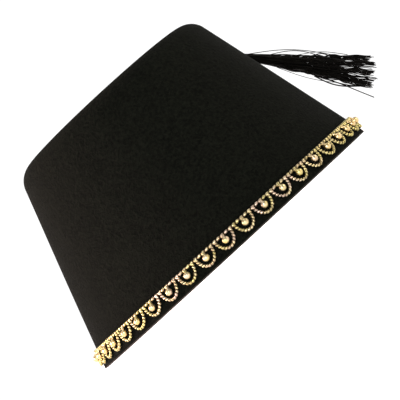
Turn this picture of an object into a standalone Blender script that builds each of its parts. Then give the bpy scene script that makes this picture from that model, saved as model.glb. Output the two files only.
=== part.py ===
"""A black felt fez: one blocked shell of felt, a gilt scalloped braid round its rim and a silk tassel.

The hat rests on its rim on z = 0, with +Z up. The origin is the middle of the rim, the front is towards -Y,
and the tassel hangs on the +X side, a little towards the back. Sizes are in metres and angles in radians.
"""

import math

import bmesh
import bpy
import numpy as np
from mathutils import Vector

GAP = 0.0003  # left between pieces that lie on each other

# The felt: a cone with its top cut off, a rounded shoulder and a crown that is barely domed.
RIM_DIAMETER = 0.190
CROWN_DIAMETER = 0.125  # where the straight wall, carried on, would meet the crown's plane
HEIGHT = 0.110
FELT = 0.002
SHOULDER_RADIUS = 0.012
CROWN_DOME = 0.0012
CROWN_SHIFT = 0.004  # how far the crown leans towards +X
SHELL_SIDES = 56
SHOULDER_STEPS = 4
CROWN_STEPS = {"outside": 2, "inside": 1}

# The braid: a header cord with a loop and a hanging bead for each scallop. Heights follow the slanting wall.
SCALLOPS = 44
BRAID_UP = 0.0107  # from the rim's edge to the middle of the header
HEADER_RADIUS = 0.00082
LOOP_RADIUS = 0.00078
LOOP_DROP = 0.0075  # from the middle of the header to the middle of the cord at the loop's lowest point
LUMPS_PER_SCALLOP = 5  # lumps of the header's twist, which set how far apart the loop's two ends are
LOOP_LUMPS = 4
BEAD_RADIUS = 0.0019
BEAD_DROP = 0.0035  # from the middle of the header to the middle of the bead
BEAD_NECK_RADIUS = 0.00064
BEAD_FOOT = math.radians(18.0)  # half the angle that the flat foot of a faceted bead takes up
HEADER_STEPS_PER_SCALLOP = 2
HEADER_SIDES = 5
LOOP_STEPS = 6
LOOP_SIDES = 5
BEAD_SIDES = 10
BEAD_RINGS = 4

# The button in the middle of the crown, which holds the tassel's cord.
BUTTON_RADIUS = 0.0055
BUTTON_HEIGHT = 0.0018
BUTTON_PROFILE = [
    # (share of the radius, share of the height)
    (0.0, 1.0),
    (0.6, 0.85),
    (0.92, 0.66),
    (1.0, 0.5),
    (1.0, 0.0),
    (0.0, 0.0),
]
BUTTON_SIDES = 14

# The tassel's cord runs from the button over the crown and down the wall, TASSEL_TURN round from +X.
TASSEL_TURN = math.radians(26.0)
CORD_RADIUS = 0.0010
CORD_STEP = 0.006
SPAN_POINTS = 24  # points worked out between two of the route's own, before the even steps are read off
CORD_ROUTE = [
    # (reach from the hat's leaning axis, sideways, height)
    (0.0058, 0.0000, 0.1113),
    (0.0120, 0.0006, 0.1113),
    (0.0200, 0.0018, 0.1112),
    (0.0300, 0.0026, 0.1110),
    (0.0400, 0.0020, 0.1107),
    (0.0490, 0.0006, 0.1104),
    (0.0545, -0.0004, 0.1102),
    (0.0591, -0.0009, 0.1092),
    (0.0630, -0.0010, 0.1066),
    (0.0656, -0.0008, 0.1034),
    (0.0670, -0.0005, 0.0996),
    (0.0684, -0.0002, 0.0950),
    (0.0697, 0.0000, 0.0910),
    (0.0713, 0.0000, 0.0879),
    (0.0729, 0.0000, 0.0854),
]

# The tassel: a small knotted head and a bound neck, from which the strands spread in locks.
TASSEL_HEIGHT = 0.0825  # of the head's middle above the floor
TASSEL_DIP = math.radians(45.8)  # how far the tassel points below the level
TASSEL_SPREAD = math.radians(6.5)  # between the tassel's axis and its side
HEAD_RADIUS = 0.0027
HEAD_LATITUDES = (20.0, 60.0, 100.0, 135.0)  # degrees from the cord's end
NECK_RADIUS = 0.0013
NECK_START = 0.0026
SKIRT_START = 0.0065
TASSEL_SIDES = 12  # twice the number of outer locks
LOCK_CORE = 0.5  # radius of the middle lock's cell, as a share of the neck's
LOCK_INSET = 0.88  # size of each lock where it leaves the neck, as a share of its cell
LOCKS = [
    # (how far its tip is from the head's middle, how wide it has spread there, as a share of the full spread)
    (0.0860, 0.0),
    (0.0850, 1.00),
    (0.0820, 0.92),
    (0.0780, 1.04),
    (0.0835, 0.96),
    (0.0865, 1.02),
    (0.0810, 0.94),
]
LOCK_SECTIONS = [
    # (share of the lock's length, how full its cell is)
    (0.55, 1.00),
    (0.88, 0.86),
    (1.00, 0.60),
]

WALL_SLOPE = (RIM_DIAMETER - CROWN_DIAMETER) / 2 / HEIGHT
WALL_ANGLE = math.atan(WALL_SLOPE)
SHOULDER_HEIGHT = HEIGHT - CROWN_DOME - SHOULDER_RADIUS
SHOULDER_IN = (SHOULDER_RADIUS + SHOULDER_HEIGHT * math.sin(WALL_ANGLE)) / math.cos(WALL_ANGLE)
SHOULDER_REACH = RIM_DIAMETER / 2 - SHOULDER_IN  # with SHOULDER_HEIGHT, the middle of the shoulder's arc


def clear_scene():
    for thing in list(bpy.data.objects):
        bpy.data.objects.remove(thing)


def material(name, colour, roughness, metallic=0.0):
    """A plain finish for one piece, with a linear colour."""
    made = bpy.data.materials.new(name)
    made.use_nodes = True
    shader = made.node_tree.nodes["Principled BSDF"]
    shader.inputs["Base Color"].default_value = (*colour, 1.0)
    shader.inputs["Roughness"].default_value = roughness
    shader.inputs["Metallic"].default_value = metallic
    return made


def placed(name, data, finish):
    thing = bpy.data.objects.new(name, data)
    thing.data.materials.append(finish)
    bpy.context.scene.collection.objects.link(thing)
    return thing


def mesh_piece(name, form, finish, crease=math.radians(35.0)):
    """A named object from a bmesh, with its faces pointing out and its round stretches shaded smooth."""
    bmesh.ops.recalc_face_normals(form, faces=form.faces)
    mesh = bpy.data.meshes.new(name)
    form.to_mesh(mesh)
    form.free()
    mesh.shade_smooth()
    mesh.set_sharp_from_angle(angle=crease)
    return placed(name, mesh, finish)


def spun(profile, sides):
    """A turned form: (radius, height) points from pole to pole, spun once round Z."""
    form = bmesh.new()
    line = [form.verts.new((radius, 0, height)) for radius, height in profile]
    edges = [form.edges.new(pair) for pair in zip(line, line[1:])]
    bmesh.ops.spin(form, geom=line + edges, axis=(0, 0, 1), angle=math.tau, steps=sides, use_merge=True)
    bmesh.ops.remove_doubles(form, verts=form.verts, dist=1e-7)
    return form


def bridge(form, first, second):
    """A band of faces between two loops of as many corners."""
    for i in range(len(first)):
        following = (i + 1) % len(first)
        form.faces.new((first[i], first[following], second[following], second[i]))


def add_rings(form, rings, joined=False):
    """A tube through rings of points: its ends are capped, or else meet each other."""
    loops = [[form.verts.new(point) for point in ring] for ring in rings]
    for first, second in zip(loops, loops[1:]):
        bridge(form, first, second)
    if joined:
        bridge(form, loops[-1], loops[0])
    else:
        form.faces.new(loops[0])
        form.faces.new(loops[-1])


def leaned(points):
    """The points shifted with the hat's lean, which grows with their height."""
    points = np.array(points, float)
    points[..., 0] += CROWN_SHIFT * points[..., 2] / HEIGHT
    return points


def meridian(off, crown_steps):
    """(radius, height) points from the rim to the crown's middle, at a distance from the felt's outside."""
    points = [(RIM_DIAMETER / 2 + off / math.cos(WALL_ANGLE), 0.0)]
    for angle in np.linspace(WALL_ANGLE, math.pi / 2, SHOULDER_STEPS + 1):
        reach = (SHOULDER_RADIUS + off) * math.cos(angle)
        rise = (SHOULDER_RADIUS + off) * math.sin(angle)
        points.append((SHOULDER_REACH + reach, SHOULDER_HEIGHT + rise))
    for share in np.linspace(1, 0, crown_steps + 1)[1:]:
        points.append((SHOULDER_REACH * share, HEIGHT + off - CROWN_DOME * share**2))
    return points


def on_wall(turn, up, off):
    """Points in space from their turn round Z, height up the slanting wall and distance from the felt."""
    height = up * math.cos(WALL_ANGLE) + off * math.sin(WALL_ANGLE)
    radius = RIM_DIAMETER / 2 - up * math.sin(WALL_ANGLE) + off * math.cos(WALL_ANGLE)
    turn, height, radius = np.broadcast_arrays(turn, height, radius)
    return leaned(np.stack([radius * np.cos(turn), radius * np.sin(turn), height], axis=-1))


def circle(sides):
    angles = np.arange(sides) * math.tau / sides
    return np.cos(angles), np.sin(angles)


def felt_shell():
    """The blocked felt, outside and inside in one turned profile, so the rim is its flat lower edge."""
    outside = meridian(0.0, CROWN_STEPS["outside"])
    inside = meridian(-FELT, CROWN_STEPS["inside"])
    form = spun(outside[::-1] + inside, SHELL_SIDES)
    for corner in form.verts:
        corner.co = leaned(corner.co)
    return mesh_piece("felt_shell", form, material("black felt", (0.009, 0.009, 0.008), 0.95))


def header_rings():
    """Rings of the header cord, all the way round the hat. They start half a step on, which keeps their edges
    clear of the beads and loops that grow out of the cord."""
    across, out = circle(HEADER_SIDES)
    count = SCALLOPS * HEADER_STEPS_PER_SCALLOP
    off = GAP + HEADER_RADIUS
    for i in range(count):
        turn = math.tau * (i + 0.5) / count
        yield on_wall(turn, BRAID_UP + HEADER_RADIUS * across, off + HEADER_RADIUS * out)


def loop_rings(turn):
    """Rings of one scallop: half an ellipse that hangs from two lumps of the header."""
    header_reach = RIM_DIAMETER / 2 - BRAID_UP * math.sin(WALL_ANGLE)
    half_width = math.pi * header_reach / SCALLOPS * LOOP_LUMPS / LUMPS_PER_SCALLOP
    across, out = circle(LOOP_SIDES)
    for angle in np.linspace(0, math.pi, LOOP_STEPS + 1):
        sideways = half_width * math.cos(angle)
        up = BRAID_UP - LOOP_DROP * math.sin(angle)
        normal = np.array([math.cos(angle) * LOOP_DROP, -math.sin(angle) * half_width])
        normal = normal / np.linalg.norm(normal)
        ring_turn = turn + (sideways + LOOP_RADIUS * across * normal[0]) / header_reach
        ring_up = up + LOOP_RADIUS * across * normal[1]
        yield on_wall(ring_turn, ring_up, GAP + HEADER_RADIUS + LOOP_RADIUS * out)


def bead_rings(turn):
    """Rings of one bead and its neck, along a line that leans out from the header to the bead's middle."""
    start = np.array([BRAID_UP, GAP + HEADER_RADIUS])
    middle = np.array([BRAID_UP - BEAD_DROP, GAP + BEAD_RADIUS])
    along = (middle - start) / np.linalg.norm(middle - start)
    side = np.array([-along[1], along[0]])
    neck_angle = math.asin(BEAD_NECK_RADIUS / BEAD_RADIUS)
    stations = [(start, BEAD_NECK_RADIUS)]
    for angle in np.linspace(neck_angle, math.pi - BEAD_FOOT, BEAD_RINGS):
        stations.append((middle - along * BEAD_RADIUS * math.cos(angle), BEAD_RADIUS * math.sin(angle)))
    round_hat, round_side = circle(BEAD_SIDES)
    reach = RIM_DIAMETER / 2 - BRAID_UP * math.sin(WALL_ANGLE)
    for centre, radius in stations:
        up, off = centre[:, None] + side[:, None] * radius * round_side
        yield on_wall(turn + radius * round_hat / reach, up, off)


def gilt_braid():
    """The header with its loops and beads fused to it, open inside every scallop."""
    gilt = material("gilt braid", (0.62, 0.47, 0.19), 0.35, 1.0)
    header = bmesh.new()
    add_rings(header, header_rings(), joined=True)
    hanging = bmesh.new()
    for i in range(SCALLOPS):
        turn = math.tau * i / SCALLOPS
        add_rings(hanging, loop_rings(turn))
        add_rings(hanging, bead_rings(turn))
    loops = mesh_piece("braid_loops", hanging, gilt)
    loops.hide_render = True
    loops.display_type = "WIRE"
    braid = mesh_piece("gilt_braid", header, gilt)
    union = braid.modifiers.new("loops and beads", "BOOLEAN")
    union.operation = "UNION"
    union.object = loops
    return braid


def crown_button():
    """A flat covered button, seated in the middle of the crown."""
    profile = [(BUTTON_RADIUS * out, HEIGHT + GAP + BUTTON_HEIGHT * up) for out, up in BUTTON_PROFILE]
    form = spun(profile, BUTTON_SIDES)
    for corner in form.verts:
        corner.co = leaned(corner.co)
    return mesh_piece("crown_button", form, material("covered button", (0.012, 0.011, 0.010), 0.8))


def tassel_side(reach, sideways, height):
    """A point in the tassel's upright plane, reach out from the leaning axis and sideways to the plane."""
    cosine = math.cos(TASSEL_TURN)
    sine = math.sin(TASSEL_TURN)
    return leaned([reach * cosine - sideways * sine, reach * sine + sideways * cosine, height])


def smooth_route(points, step):
    """Points a step apart on a smooth curve through the given ones: each span is a cubic that takes its slope
    at both ends from the neighbours on either side."""
    points = np.array(points)
    slopes = np.gradient(points, axis=0)
    shares = np.linspace(0, 1, SPAN_POINTS, endpoint=False)[:, None]
    curve = [
        (1 + 2 * shares) * (1 - shares) ** 2 * points[i]
        + shares * (1 - shares) ** 2 * slopes[i]
        + shares**2 * (3 - 2 * shares) * points[i + 1]
        - shares**2 * (1 - shares) * slopes[i + 1]
        for i in range(len(points) - 1)
    ]
    curve = np.concatenate([*curve, points[-1:]])
    run = np.concatenate([[0], np.cumsum(np.linalg.norm(np.diff(curve, axis=0), axis=1))])
    places = np.linspace(0, run[-1], round(run[-1] / step) + 1)
    return np.stack([np.interp(places, run, curve[:, i]) for i in range(3)], axis=1)


def tassel_cord():
    """The cord that carries the tassel, lying on the felt."""
    route = smooth_route([tassel_side(*row) for row in CORD_ROUTE], CORD_STEP)
    line = bpy.data.curves.new("tassel_cord", "CURVE")
    line.dimensions = "3D"
    spline = line.splines.new("POLY")
    spline.points.add(len(route) - 1)
    for point, place in zip(spline.points, route):
        point.co = (*place, 1.0)
    line.bevel_depth = CORD_RADIUS
    line.bevel_resolution = 2
    line.use_fill_caps = True
    return placed("tassel_cord", line, material("silk cord", (0.008, 0.007, 0.006), 0.6))


def tassel():
    """Head, neck and locks in one body. It is made pointing along +Z from the head's middle, then turned."""
    form = bmesh.new()
    across, aside = circle(TASSEL_SIDES)
    profile = [
        (HEAD_RADIUS * math.sin(angle), -HEAD_RADIUS * math.cos(angle))
        for angle in np.radians(HEAD_LATITUDES)
    ]
    profile += [(NECK_RADIUS, NECK_START), (NECK_RADIUS, SKIRT_START)]
    loops = [
        [form.verts.new((radius * x, radius * y, along)) for x, y in zip(across, aside)]
        for radius, along in profile
    ]
    form.faces.new(loops[0])
    for first, second in zip(loops, loops[1:]):
        bridge(form, first, second)

    core = [
        form.verts.new((LOCK_CORE * NECK_RADIUS * x, LOCK_CORE * NECK_RADIUS * y, SKIRT_START))
        for x, y in zip(across[::2], aside[::2])
    ]
    rim = loops[-1]
    cells = [core]
    for i in range(len(core)):
        following = (i + 1) % len(core)
        cells.append([rim[2 * i], rim[2 * i + 1], rim[2 * following], core[following], core[i]])
    for cell, (length, spread) in zip(cells, LOCKS):
        add_lock(form, cell, length, spread)

    piece = mesh_piece("tassel", form, material("silk strands", (0.006, 0.005, 0.005), 0.5))
    clearance = (HEAD_RADIUS + GAP) / math.cos(WALL_ANGLE)
    piece.location = tassel_side(RIM_DIAMETER / 2 - WALL_SLOPE * TASSEL_HEIGHT + clearance, 0, TASSEL_HEIGHT)
    level = math.cos(TASSEL_DIP)
    pointing = Vector((level * math.cos(TASSEL_TURN), level * math.sin(TASSEL_TURN), -math.sin(TASSEL_DIP)))
    piece.rotation_euler = pointing.to_track_quat("Z", "Y").to_euler()
    return piece


def add_lock(form, cell, length, spread):
    """One lock grows out of its cell of the neck's end. Its corners spread with the tassel's cone, while each
    section closes in on its own middle by the share that LOCK_SECTIONS gives, so that locks never touch."""
    corners = np.array([corner.co for corner in cell])
    middle = corners.mean(axis=0)
    middle[2] = 0.0
    corners[:, 2] = 0.0
    last = cell
    for share, full in [(0.0, LOCK_INSET)] + [(share, LOCK_INSET * full) for share, full in LOCK_SECTIONS]:
        along = SKIRT_START + share * (length - SKIRT_START)
        growth = 1 + (along - SKIRT_START) * math.tan(TASSEL_SPREAD) / NECK_RADIUS
        widened = 1 + (spread - 1) * share if spread else 1.0
        places = middle * growth * widened + (corners - middle) * growth * full
        places[:, 2] = along
        ring = [form.verts.new(place) for place in places]
        bridge(form, last, ring)
        last = ring
    form.faces.new(last)


clear_scene()
felt_shell()
gilt_braid()
crown_button()
tassel_cord()
tassel()
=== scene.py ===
# %% [markdown]
# # A black felt fez
#
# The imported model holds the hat's solids at their real size: a felt cap, a gilt braid round its rim, a button
# in the middle of the crown, and a tassel on a short cord. This script gives each of them the surface of the
# real one, worked out with whole numpy arrays, and a finish that starts from what the material really is.
# Lengths are in metres, unless a comment says otherwise.

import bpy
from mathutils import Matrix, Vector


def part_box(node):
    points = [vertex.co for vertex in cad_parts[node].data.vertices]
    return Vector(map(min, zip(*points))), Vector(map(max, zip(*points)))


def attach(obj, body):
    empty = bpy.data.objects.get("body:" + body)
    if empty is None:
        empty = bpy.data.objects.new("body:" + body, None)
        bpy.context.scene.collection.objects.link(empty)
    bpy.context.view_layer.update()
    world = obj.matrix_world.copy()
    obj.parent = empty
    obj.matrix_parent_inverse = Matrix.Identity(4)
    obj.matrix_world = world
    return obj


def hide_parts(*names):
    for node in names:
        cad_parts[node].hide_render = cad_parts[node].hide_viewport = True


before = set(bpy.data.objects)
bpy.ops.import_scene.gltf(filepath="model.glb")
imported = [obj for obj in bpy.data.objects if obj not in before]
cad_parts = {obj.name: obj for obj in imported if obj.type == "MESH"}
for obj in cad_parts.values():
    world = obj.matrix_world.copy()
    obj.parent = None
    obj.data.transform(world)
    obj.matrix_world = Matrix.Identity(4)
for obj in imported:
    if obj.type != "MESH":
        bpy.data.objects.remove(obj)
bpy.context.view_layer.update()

import math

import bpy
import numpy as np
from mathutils import Matrix, Vector

MM = 1000  # millimetres in a metre
RIM_LOW, RIM_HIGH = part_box("felt_shell")
RIM_RADIUS = (RIM_HIGH.x - RIM_LOW.x) / 2
HEIGHT = RIM_HIGH.z
print(f"frame: nodes {sorted(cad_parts)}, rim {MM * 2 * RIM_RADIUS:.1f} mm, height {MM * HEIGHT:.1f} mm")

# %% [markdown]
# ## The camera
#
# In the photograph the hat is tilted: its upright axis leans 42.6 degrees to the left. The hat stands level
# here, so the camera rolls instead. The photograph looks a little up under the rim. That can't be done above
# a floor, so the camera stands as low as it can, a centimetre up, and far away, as the photograph's weak
# perspective shows. The lens follows from the width of the rim in the picture.

# %% The camera at the photograph's angle
PHOTO_SIDE = 400  # pixels
RIM_WIDTH_IN_PHOTO = 351.0  # pixels
RIM_MIDDLE_IN_PHOTO = np.array([235.0, 250.0])  # pixels, from the left and from the top
ROLL = math.radians(42.6)
CAMERA_DISTANCE = 1.60
CAMERA_HEIGHT = 0.010
SENSOR_MM = 36.0


def new_object(name, data):
    """An object with the given data, linked to the scene."""
    made = bpy.data.objects.new(name, data)
    bpy.context.scene.collection.objects.link(made)
    return made


pixels_per_metre = RIM_WIDTH_IN_PHOTO / (2 * RIM_RADIUS)
shift_right, shift_down = (PHOTO_SIDE / 2 - RIM_MIDDLE_IN_PHOTO) / pixels_per_metre
aim = Vector((
    shift_right * math.cos(ROLL) - shift_down * math.sin(ROLL),
    0.0,
    -shift_right * math.sin(ROLL) - shift_down * math.cos(ROLL),
))
place = Vector((aim.x, -CAMERA_DISTANCE, CAMERA_HEIGHT))
back = (place - aim).normalized()
level_right = Vector((0, 0, 1)).cross(back).normalized()
level_up = back.cross(level_right)
rolled_right = level_right * math.cos(ROLL) - level_up * math.sin(ROLL)
rolled_up = level_right * math.sin(ROLL) + level_up * math.cos(ROLL)
facing = Matrix((rolled_right, rolled_up, back)).transposed().to_4x4()

camera = new_object("camera", bpy.data.cameras.new("camera"))
camera.matrix_world = Matrix.Translation(place) @ facing
camera.data.sensor_width = SENSOR_MM
camera.data.lens = SENSOR_MM * pixels_per_metre * CAMERA_DISTANCE / PHOTO_SIDE
bpy.context.scene.camera = camera
print(f"camera: lens {camera.data.lens:.0f} mm, aimed at {[round(MM * v) for v in aim]} mm")

# %% [markdown]
# ## Two helpers: colour and nodes
#
# Colours are read off as sRGB hex values and shaders want linear light, so one function turns them. Another
# adds any node with its settings and its links, so that a material reads as a list of what it is made of.

# %% Colour and nodes
WHITE = (1.0, 1.0, 1.0, 1.0)


def linear(colour):
    """Linear light of an sRGB hex colour: each channel is a straight line near black, then a power of 2.4."""
    channels = np.array([int(colour[i : i + 2], 16) for i in (1, 3, 5)]) / 255
    light = np.where(channels <= 0.04045, channels / 12.92, ((channels + 0.055) / 1.055) ** 2.4)
    return (*light.tolist(), 1.0)


def add(tree, kind, sockets=None, **settings):
    """A new node, with kind Math for a ShaderNodeMath. Settings are its own properties. Sockets gives an
    input a value, another node's output, or another node, which stands for its first output."""
    made = tree.nodes.new("ShaderNode" + kind)
    for name, value in settings.items():
        setattr(made, name, value)
    for name, value in (sockets or {}).items():
        value = value.outputs[0] if isinstance(value, bpy.types.Node) else value
        if isinstance(value, bpy.types.NodeSocket):
            tree.links.new(value, made.inputs[name])
        else:
            made.inputs[name].default_value = value
    return made


def new_finish(name, **constants):
    """A material with one Principled shader. Each constant sets the socket of its name (_ for a space)."""
    finish = bpy.data.materials.new(name)
    finish.use_nodes = True
    shader = finish.node_tree.nodes["Principled BSDF"]
    for socket, value in constants.items():
        shader.inputs[socket.replace("_", " ")].default_value = value
    return finish, finish.node_tree, shader


print(f"colour: a picked grey of #808080 is {linear('#808080')[0]:.2f} in linear light")

# %% [markdown]
# ## The stage
#
# Gilt only looks like metal when it mirrors something bright beside something dark, and black felt only shows
# its shape where light rakes over it. So this is a product studio: a pale table that glows, a bright backdrop
# behind, a dimmer room in front with a ceiling a shade darker, and soft boxes. The box on the left is warm
# and by far the strongest, as the lighter, brownish left of the photographed felt shows. The small box
# in front puts a spark on each bead.

# %% Floor, surroundings and lights
FLOOR_RADIUS = 30.0
FLOOR_CORNERS = 96
TABLE_GLOW = 0.62
BACKDROP, ROOM, CEILING = 1.10, 0.40, 0.36  # light of the surroundings
BACKDROP_FROM, BACKDROP_TO = 0.0, 0.3  # part of a direction towards +Y, while the backdrop takes over
CEILING_FROM, CEILING_TO = 0.35, 0.75  # part of a direction upwards, while the ceiling takes over

SOFT_BOXES = [
    # (name, where it stands, its side, its power in watts, its colour)
    ("warm left", (-1.6, 0.14, 0.7), 0.8, 64.0, "#FFDBD8"),
    ("front spark", (-0.35, -1.7, 0.65), 0.45, 24.0, "#FFFFFF"),
    ("right", (1.6, 0.05, 0.6), 0.6, 9.0, "#FFF1DC"),
    ("top", (0.1, 0.3, 1.7), 0.9, 8.0, "#FFFFFF"),
]


def evenly_round(count):
    """Angles that stand evenly round a circle, from 0."""
    return np.arange(count) * math.tau / count


def together(*values):
    """Values side by side along a last axis, such as coordinates. A single number stands for all points."""
    return np.stack(np.broadcast_arrays(*values), axis=-1)


def studio_world():
    """The surroundings by direction: backdrop towards +Y, room towards -Y, both fading into the ceiling."""
    world = bpy.data.worlds.new("studio")
    world.use_nodes = True
    tree = world.node_tree
    toward = add(tree, "SeparateXYZ", {0: add(tree, "TexCoord").outputs["Generated"]})
    walls = add(tree, "MapRange", {"Value": toward.outputs["Y"], "From Min": BACKDROP_FROM,
                                   "From Max": BACKDROP_TO, "To Min": ROOM, "To Max": BACKDROP})
    rise = add(tree, "MapRange", {"Value": toward.outputs["Z"], "From Min": CEILING_FROM,
                                  "From Max": CEILING_TO})
    light = add(tree, "Mix", {"Factor": rise, 2: walls, 3: CEILING})
    tree.links.new(light.outputs[0], tree.nodes["Background"].inputs["Strength"])
    tree.nodes["Background"].inputs["Color"].default_value = WHITE
    return world


def build_stage():
    """A round glowing table at the height of the rim, the surroundings, and soft boxes that face the hat."""
    turn = evenly_round(FLOOR_CORNERS)
    corners = FLOOR_RADIUS * together(np.cos(turn), np.sin(turn), 0.0)
    mesh = bpy.data.meshes.new("floor")
    mesh.from_pydata(corners.tolist(), [], [list(range(FLOOR_CORNERS))])
    floor = new_object("floor", mesh)
    table = new_finish("white acrylic light table", Base_Color=linear("#E6E6E4"), Roughness=0.9,
                       Emission_Color=WHITE, Emission_Strength=TABLE_GLOW)
    mesh.materials.append(table[0])
    bpy.context.scene.world = studio_world()
    bpy.context.scene.view_settings.view_transform = "Standard"

    hat_middle = Vector((0, 0, HEIGHT / 2))
    for name, where, side, power, colour in SOFT_BOXES:
        data = bpy.data.lights.new(name, "AREA")
        data.size = side
        data.energy = power
        data.color = linear(colour)[:3]
        box = new_object(name, data)
        box.location = where
        box.rotation_euler = (Vector(where) - hat_middle).to_track_quat("Z", "Y").to_euler()


build_stage()
print(f"stage: floor {FLOOR_RADIUS:.0f} m in radius, {len(SOFT_BOXES)} soft boxes")

# %% [markdown]
# ## From numbers to a mesh
#
# Nearly everything on this hat is round one way: a turned cap, a bead, a thread. So every piece is rings of
# points, and one function skins them. It takes many copies at once, so forty-four loops or a hundred strands
# are one call.

# %% Skinning rings of points
def run_along(line):
    """How far along a line each of its points lies: the sum of the steps that lead up to it."""
    steps = np.linalg.norm(np.diff(line, axis=-2), axis=-1)
    return np.concatenate([np.zeros((*steps.shape[:-1], 1)), np.cumsum(steps, axis=-1)], axis=-1)


def skin(points, joined=False, run=None):
    """Faces over rings of points, given as points[copy, ring, column].

    Neighbouring rings and columns span quads, and the columns close on themselves. The rings close too where
    they are joined, and otherwise a fan of triangles round the middle of the first and last ring closes each
    end. The UV map's U is the run along the rings and its V goes once round, both in millimetres. If the
    signed volume (the sum of the triple products of the triangles) is negative, the faces are turned round.
    """
    copies, rings, columns = points.shape[:3]
    if run is None:
        run = run_along(points.mean(axis=2))
    run = MM * np.concatenate([run, run[:, -1:] + np.diff(run, axis=1)[:, -1:]], axis=1)
    width = np.linalg.norm(np.diff(points[0, rings // 2], axis=0), axis=1).mean()
    girth = MM * width * np.arange(columns + 1)

    ring, column = np.meshgrid(np.arange(rings if joined else rings - 1), np.arange(columns), indexing="ij")
    ring = together(ring, ring, ring + 1, ring + 1).reshape(-1, 4)
    column = together(column, column + 1, column + 1, column).reshape(-1, 4)
    first = (np.arange(copies) * rings * columns)[:, None, None]
    quads = (first + (ring % rings) * columns + column % columns).reshape(-1, 4)
    quad_uv = together(run[:, ring], girth[column])

    corners = points.reshape(-1, 3)
    triangles, triangle_uv = np.zeros((0, 3), int), np.zeros((0, 3, 2))
    if not joined:
        ends = points[:, [0, -1]].mean(axis=2)
        tips = len(corners) + np.arange(2 * copies).reshape(copies, 2)
        corners = np.concatenate([corners, ends.reshape(-1, 3)])
        here = first[:, :, 0] + np.arange(columns)
        there = first[:, :, 0] + (np.arange(columns) + 1) % columns
        last = (rings - 1) * columns
        start_fan = together(there, here, tips[:, :1])
        end_fan = together(last + here, last + there, tips[:, 1:])
        triangles = np.concatenate([start_fan, end_fan]).reshape(-1, 3)
        flat = together(girth[:-1], girth[1:], girth[:-1])
        ends_run = run[:, [0, rings - 1], None, None].swapaxes(0, 1)
        triangle_uv = together(ends_run, flat).reshape(-1, 3, 2)

    split = np.concatenate([quads[:, [0, 1, 2]], quads[:, [0, 2, 3]], triangles])
    one, two, three = corners[split.T]
    volume = np.einsum("ij,ij->", one, np.cross(two, three)) / 6
    if volume < 0:
        quads, triangles = quads[:, ::-1], triangles[:, ::-1]
        quad_uv, triangle_uv = quad_uv[..., ::-1, :], triangle_uv[:, ::-1]
    uv = np.concatenate([quad_uv.reshape(-1, 2), triangle_uv.reshape(-1, 2)])
    return corners, quads, triangles, uv, abs(volume)


def make_piece(name, skins, finish, slot, *nodes):
    """One smooth object of several skins, which rides on the hat and stands for the CAD nodes named."""
    corners, faces, uv = [], [], []
    offset, volume = 0, 0.0
    for skin_corners, quads, triangles, skin_uv, skin_volume in skins:
        corners.append(skin_corners)
        faces += (quads + offset).tolist() + (triangles + offset).tolist()
        uv.append(skin_uv)
        offset += len(skin_corners)
        volume += skin_volume
    mesh = bpy.data.meshes.new(name)
    mesh.from_pydata(np.concatenate(corners), [], faces)
    mesh.uv_layers.new(name="UVMap").data.foreach_set("uv", np.concatenate(uv).ravel())
    mesh.shade_smooth()
    mesh.materials.append(finish)
    piece = new_object(name, mesh)
    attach(piece, "root")
    if nodes:
        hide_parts(*nodes)
    count = sum(len(face) - 2 for face in faces)
    print(f"{name}: {count} triangles, {100**3 * volume:.2f} cubic centimetres")
    return piece


# %% [markdown]
# ## The shape of the felt
#
# Felt has no weave and no seam: wool is matted into one skin and blocked over a form with steam, so the wall
# runs without a break into the shoulder and the crown. The cap is a turned surface, so its outline is
# everything: a straight wall, a rounded shoulder, a crown that is barely domed, and a cut edge with soft
# corners. Steam never leaves it quite true, so a slow swell of a third of a millimetre goes round it.

# %% Outline and swell of the felt
CROWN_RADIUS = 0.0625  # where the wall, carried on, would meet the crown's plane
CROWN_SHIFT = 0.004  # how far the crown leans towards +X
CROWN_DOME = 0.0012
SHOULDER_RADIUS = 0.012
FELT = 0.002
EDGE_RADIUS = 0.0006  # of the cut edge's corners
GAP = 0.0003  # between pieces that lie on each other
SWELL = 0.00030
SWELL_WAVES = [
    # (share of the swell, waves to the round, radians that they turn for each metre of height, their start)
    (0.5, 2, 26, 0.6),
    (0.3, 3, -40, 0.0),
    (0.2, 5, 0, 0.0),
]
SWELL_FULLNESS = 0.7  # power of its fading: below 1 it stays full for longer

WALL_ANGLE = math.atan((RIM_RADIUS - CROWN_RADIUS) / HEIGHT)
SHOULDER_HEIGHT = HEIGHT - CROWN_DOME - SHOULDER_RADIUS
shoulder_foot = SHOULDER_RADIUS + SHOULDER_HEIGHT * math.sin(WALL_ANGLE)
SHOULDER_REACH = RIM_RADIUS - shoulder_foot / math.cos(WALL_ANGLE)


def swell(turn, height):
    """How far the felt stands out at a turn and a height: a sum of slow sine waves round the hat, which fade
    to nothing at the cut edge and on the crown."""
    waves = sum(part * np.sin(n * turn + twist * height + start) for part, n, twist, start in SWELL_WAVES)
    fading = np.sin(math.pi * np.clip(height / HEIGHT, 0, 1)) ** SWELL_FULLNESS
    return SWELL * waves * fading


def leaned(x, y, z):
    """Points with the hat's lean, which shifts them towards +X in step with their height."""
    return together(x + CROWN_SHIFT * z / HEIGHT, y, z)


def on_wall(turn, up, off):
    """Points from their turn round the hat, their way up the slanting wall, and how far they stand off it:
    the wall's own slope shares out both between height and radius."""
    height = up * math.cos(WALL_ANGLE) + off * math.sin(WALL_ANGLE)
    radius = RIM_RADIUS - up * math.sin(WALL_ANGLE) + off * math.cos(WALL_ANGLE)
    radius = radius + swell(turn, up * math.cos(WALL_ANGLE))
    return leaned(radius * np.cos(turn), radius * np.sin(turn), height)


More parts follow.
